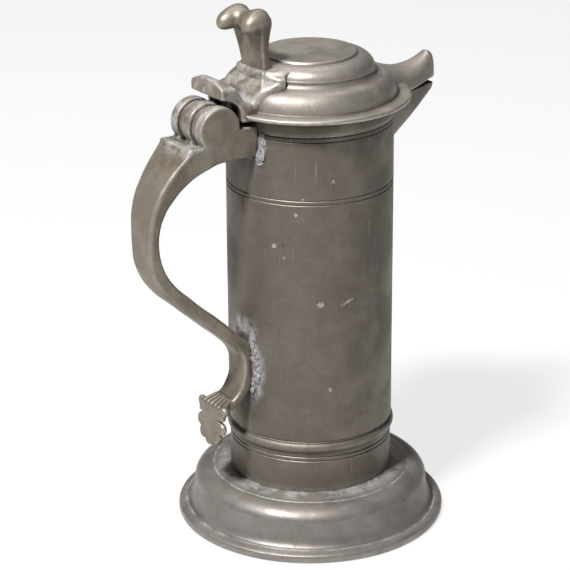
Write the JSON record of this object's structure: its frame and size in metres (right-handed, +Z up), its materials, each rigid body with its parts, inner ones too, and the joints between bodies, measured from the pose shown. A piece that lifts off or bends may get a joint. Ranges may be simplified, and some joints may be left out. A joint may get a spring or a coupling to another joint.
{
  "type": "pewter flagon",
  "caption": "Tall lidded pewter flagon with a cylindrical drum on a flared foot, a beak spout, a strap handle and a domed lid hinged at the handle with a thumb-piece.",
  "frame": {"origin": "centre of the foot's resting ring, on the ground plane and on the drum's axis", "axes": "+Z up along the drum's axis, +X towards the spout, the handle and hinge at -X, the hinge pin along Y"},
  "size_m": [0.1885, 0.1484, 0.2943],
  "materials": {
    "pewter": "satin turned pewter with a mottled patina",
    "foot_pewter": "satin turned pewter, darker in the hollows",
    "lid_pewter": "brighter turned pewter",
    "cast_pewter": "cast and filed pewter, worn bright on the edges",
    "solder": "lumpy grey solder",
    "pin_metal": "dull drawn metal"
  },
  "bodies": {
    "vessel": {"drum": "pewter", "base_plate": "foot_pewter", "foot": "foot_pewter", "spout": "pewter", "handle": "cast_pewter", "upper_solder": "solder", "lower_solder": "solder", "hinge_pin": "pin_metal", "pin_plug": "pewter"},
    "lid_assembly": {"lid": "lid_pewter", "spout_cover": "lid_pewter", "lid_strap": "cast_pewter", "thumb_piece": "cast_pewter"}
  },
  "joints": [
    {"name": "lid_hinge", "type": "hinge", "parent": "vessel", "child": "lid_assembly", "pos_m": [-0.0659, 0, 0.2362], "axis": [0, -1, 0], "range_deg": [0, 105]}
  ]
}
